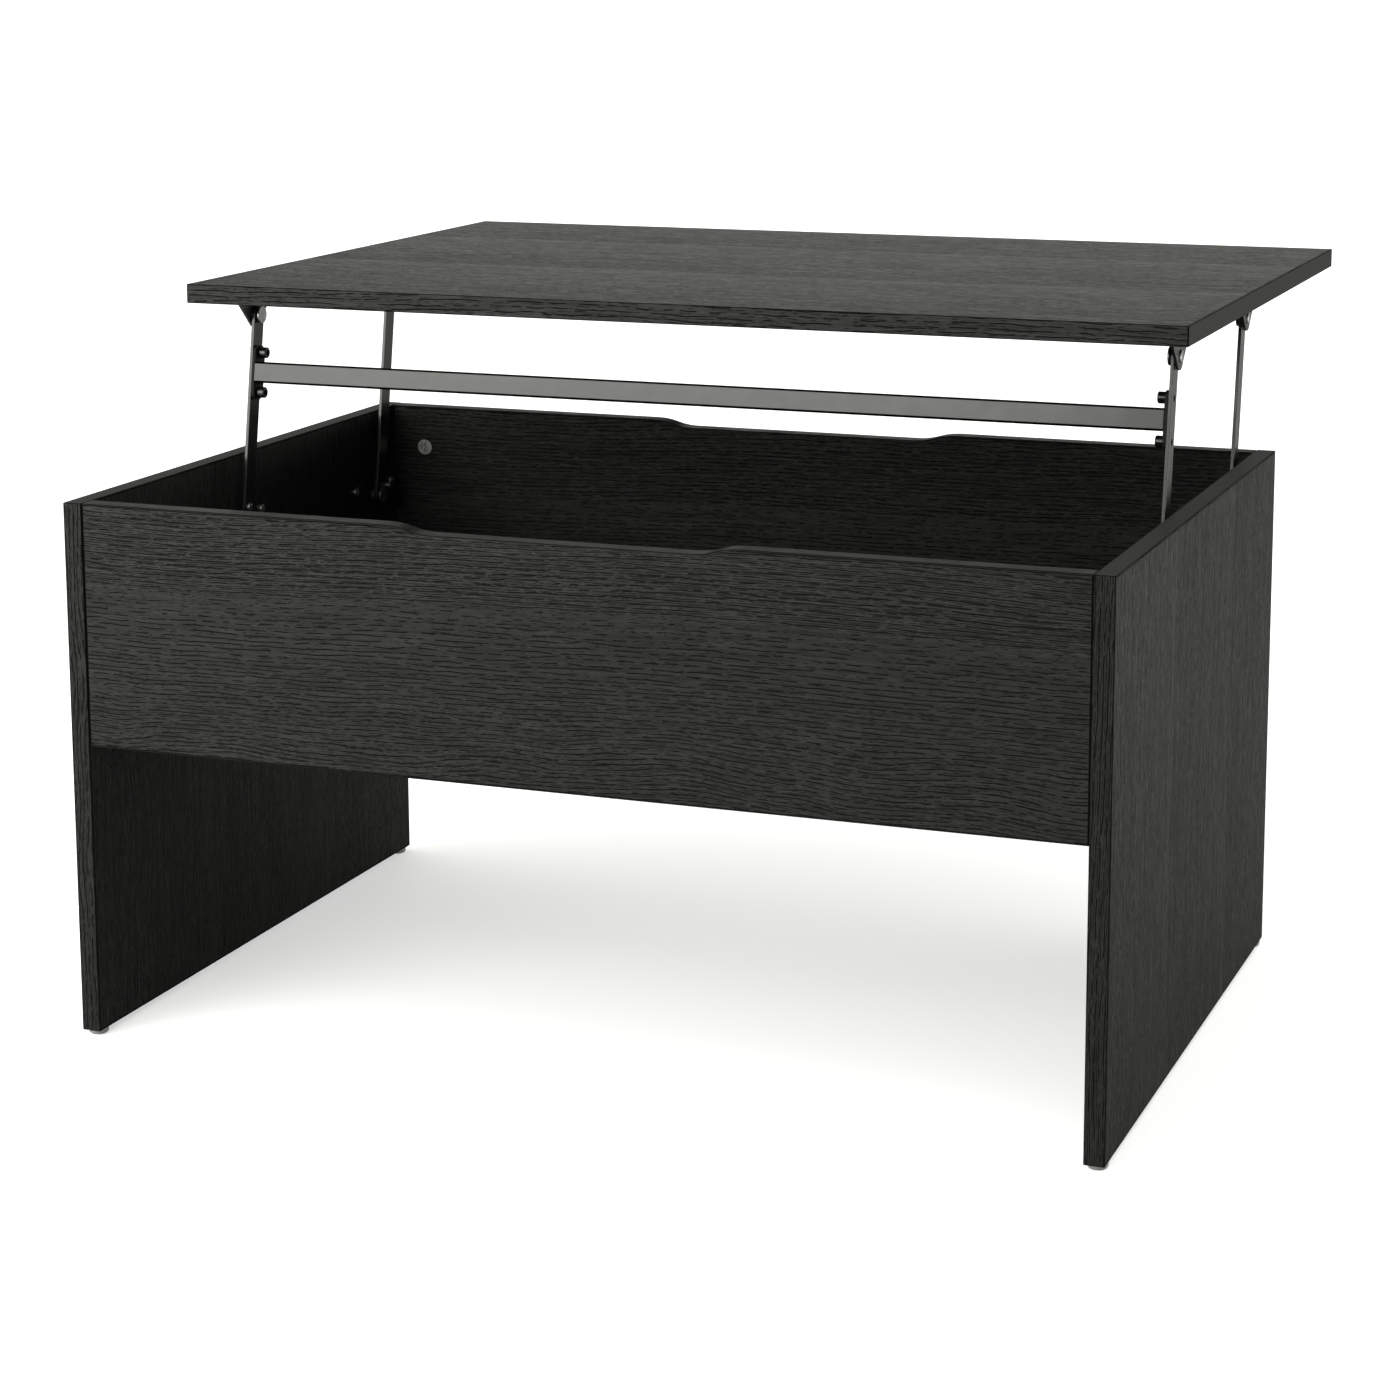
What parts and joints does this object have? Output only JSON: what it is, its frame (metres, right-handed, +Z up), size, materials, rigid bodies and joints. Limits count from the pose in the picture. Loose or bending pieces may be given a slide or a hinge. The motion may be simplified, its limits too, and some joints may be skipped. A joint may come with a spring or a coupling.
{
  "type": "lift top coffee table",
  "caption": "Black wood-effect coffee table with an open-footed storage box and a top that rises level and swings forward on four parallel steel arms.",
  "frame": {"origin": "on the floor, under the middle of the raised table's outline", "axes": "+X to the right along the length, +Y the way the top moves as it rises, +Z up"},
  "size_m": [0.9, 0.851, 0.6233],
  "materials": {
    "foil_upright": "black-stained ash foil, grain upright",
    "foil_level": "black-stained ash foil, grain along the length",
    "edge_band": "satin edge band",
    "glide_plastic": "milky grey nylon",
    "cam_zinc": "die-cast zinc",
    "zinc_steel": "zinc plated",
    "beech": "plain beech",
    "rivet_steel": "bright steel",
    "bush_plastic": "smooth nylon",
    "black_steel": "black oxide, glossy",
    "arm_paint": "satin black powder coat"
  },
  "bodies": {
    "base": {"side_panel_left": "foil_upright", "side_panel_right": "foil_upright", "side_band_left": "edge_band", "side_band_right": "edge_band", "front_apron": "foil_level", "back_apron": "foil_level", "front_apron_band": "edge_band", "back_apron_band": "edge_band", "bottom_panel": "foil_level", "foot_glides": "glide_plastic", "cam_locks": "cam_zinc", "cam_bolts": "zinc_steel", "wood_dowels": "beech", "lower_bracket_front_left": "arm_paint", "lower_bracket_front_right": "arm_paint", "lower_bracket_rear_left": "arm_paint", "lower_bracket_rear_right": "arm_paint", "lower_bracket_screws": "zinc_steel", "lower_pivot_rivets": "rivet_steel", "lower_pivot_bushes": "bush_plastic", "arm_stop_pins": "zinc_steel"},
    "front_arms": {"front_arm_left": "arm_paint", "front_arm_right": "arm_paint", "cross_beam": "arm_paint", "beam_tab_left": "arm_paint", "beam_tab_right": "arm_paint", "beam_screws": "black_steel", "beam_screw_washers": "black_steel", "front_arm_studs": "zinc_steel"},
    "rear_arm_left": {"rear_arm_left": "arm_paint"},
    "rear_arm_right": {"rear_arm_right": "arm_paint"},
    "top": {"tabletop": "foil_level", "tabletop_band": "edge_band", "upper_bracket_front_left": "arm_paint", "upper_bracket_front_right": "arm_paint", "upper_bracket_rear_left": "arm_paint", "upper_bracket_rear_right": "arm_paint", "upper_bracket_screws": "zinc_steel", "upper_pivot_rivets": "rivet_steel", "upper_pivot_washers": "bush_plastic"}
  },
  "joints": [
    {"name": "lift", "type": "hinge", "parent": "base", "child": "front_arms", "pos_m": [0, -0.16328, 0.3826], "axis": [1, 0, 0], "range_deg": [0, 81.68]},
    {"name": "top_level", "type": "hinge", "parent": "front_arms", "child": "top", "pos_m": [0, -0.12887, 0.58824], "axis": [1, 0, 0], "range_deg": [-81.68, 0]},
    {"name": "rear_left_swing", "type": "hinge", "parent": "base", "child": "rear_arm_left", "pos_m": [-0.4217, 0.10722, 0.3826], "axis": [1, 0, 0], "range_deg": [0, 81.68]},
    {"name": "rear_right_swing", "type": "hinge", "parent": "base", "child": "rear_arm_right", "pos_m": [0.4217, 0.10722, 0.3826], "axis": [1, 0, 0], "range_deg": [0, 81.68]}
  ],
  "couplings": [
    {"joint": "top_level", "follows": "lift", "ratio": -1},
    {"joint": "rear_left_swing", "follows": "lift", "ratio": 1},
    {"joint": "rear_right_swing", "follows": "lift", "ratio": 1}
  ]
}
